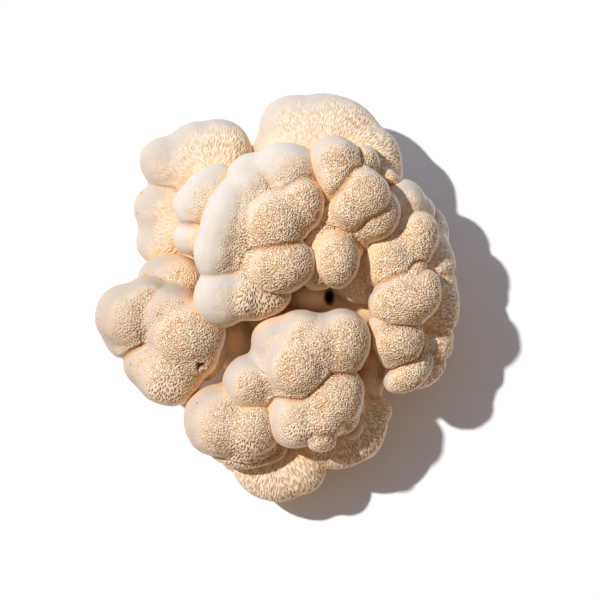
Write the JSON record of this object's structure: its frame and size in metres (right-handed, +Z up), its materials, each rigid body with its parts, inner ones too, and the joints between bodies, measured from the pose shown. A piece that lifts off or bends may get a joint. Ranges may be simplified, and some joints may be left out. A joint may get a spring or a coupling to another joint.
{
  "type": "lion's mane mushroom",
  "caption": "Cluster of lion's mane mushroom: lumpy heads with short dense spines crowd on a branching stem that is cut off flat.",
  "frame": {"origin": "middle of the flat cut foot, on the surface that the mushroom stands on", "axes": "+Z up, out of the spiny side; +Y towards the wide top fan; +X towards the right-hand heads"},
  "size_m": [0.1219, 0.1372, 0.056],
  "materials": {
    "mushroom_skin": "matt, soft and spongy, cream to ivory, with tan pores between short spines",
    "stem_flesh": "matt, smooth and slightly fibrous, pale tan"
  },
  "bodies": {
    "root": {"stem": "stem_flesh", "head_upper_left": "mushroom_skin", "head_upper_middle": "mushroom_skin", "head_right": "mushroom_skin", "head_front": "mushroom_skin", "head_left": "mushroom_skin", "head_lower_left": "mushroom_skin", "bud_upper_left": "mushroom_skin", "fan_top": "mushroom_skin", "fan_upper_left": "mushroom_skin", "fan_right": "mushroom_skin", "fan_bottom_left": "mushroom_skin", "fan_bottom_right": "mushroom_skin"}
  },
  "joints": []
}
